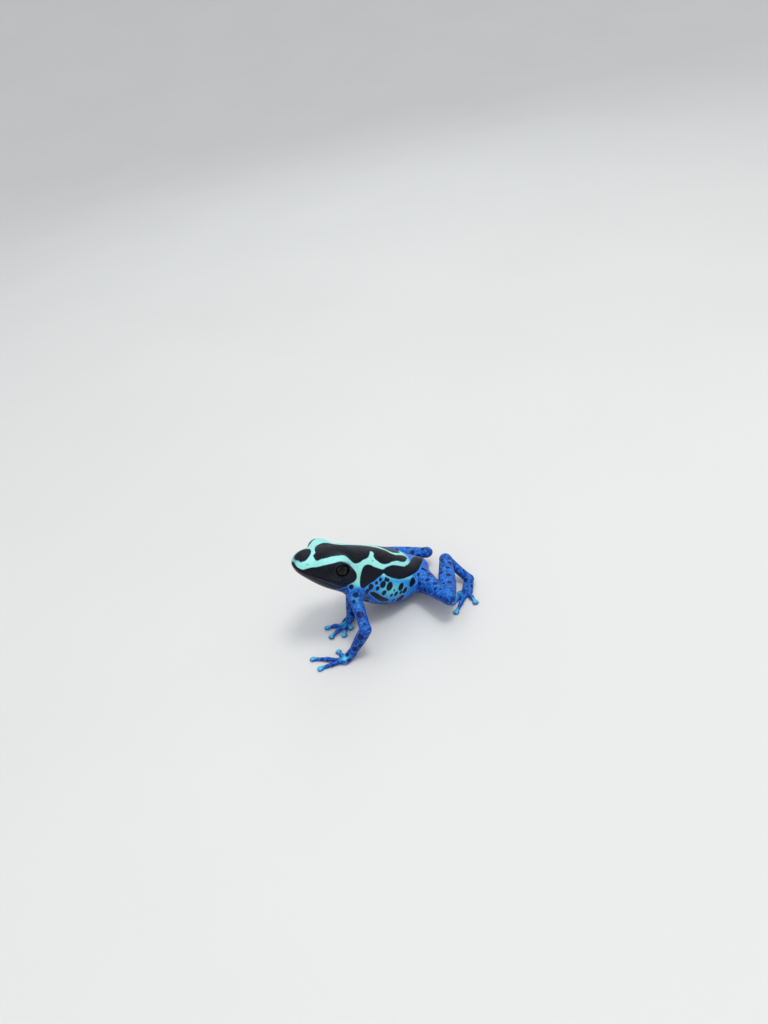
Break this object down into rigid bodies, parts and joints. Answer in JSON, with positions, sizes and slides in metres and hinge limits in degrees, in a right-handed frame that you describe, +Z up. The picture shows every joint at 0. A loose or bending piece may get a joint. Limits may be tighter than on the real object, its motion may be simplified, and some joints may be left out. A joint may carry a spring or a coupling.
{
  "type": "poison dart frog",
  "caption": "Still, life-size poison dart frog sitting up on stretched front legs, with blue spotted limbs and a black back edged with pale turquoise stripes.",
  "frame": {"origin": "bottom centre of the model's box, on the floor it sits on", "axes": "the frog faces -Y, its left side is +X, +Z is up"},
  "size_m": [0.0412, 0.0522, 0.0296],
  "materials": {
    "skin": "moist, finely granular skin",
    "eye": "wet and smooth"
  },
  "bodies": {
    "root": {"head": "skin", "trunk": "skin", "eye_left": "eye", "eye_right": "eye", "upper_arm_left": "skin", "forearm_left": "skin", "hand_left": "skin", "thigh_left": "skin", "shank_left": "skin", "tarsus_left": "skin", "foot_left": "skin", "upper_arm_right": "skin", "forearm_right": "skin", "hand_right": "skin", "thigh_right": "skin", "shank_right": "skin", "tarsus_right": "skin", "foot_right": "skin"}
  },
  "joints": []
}
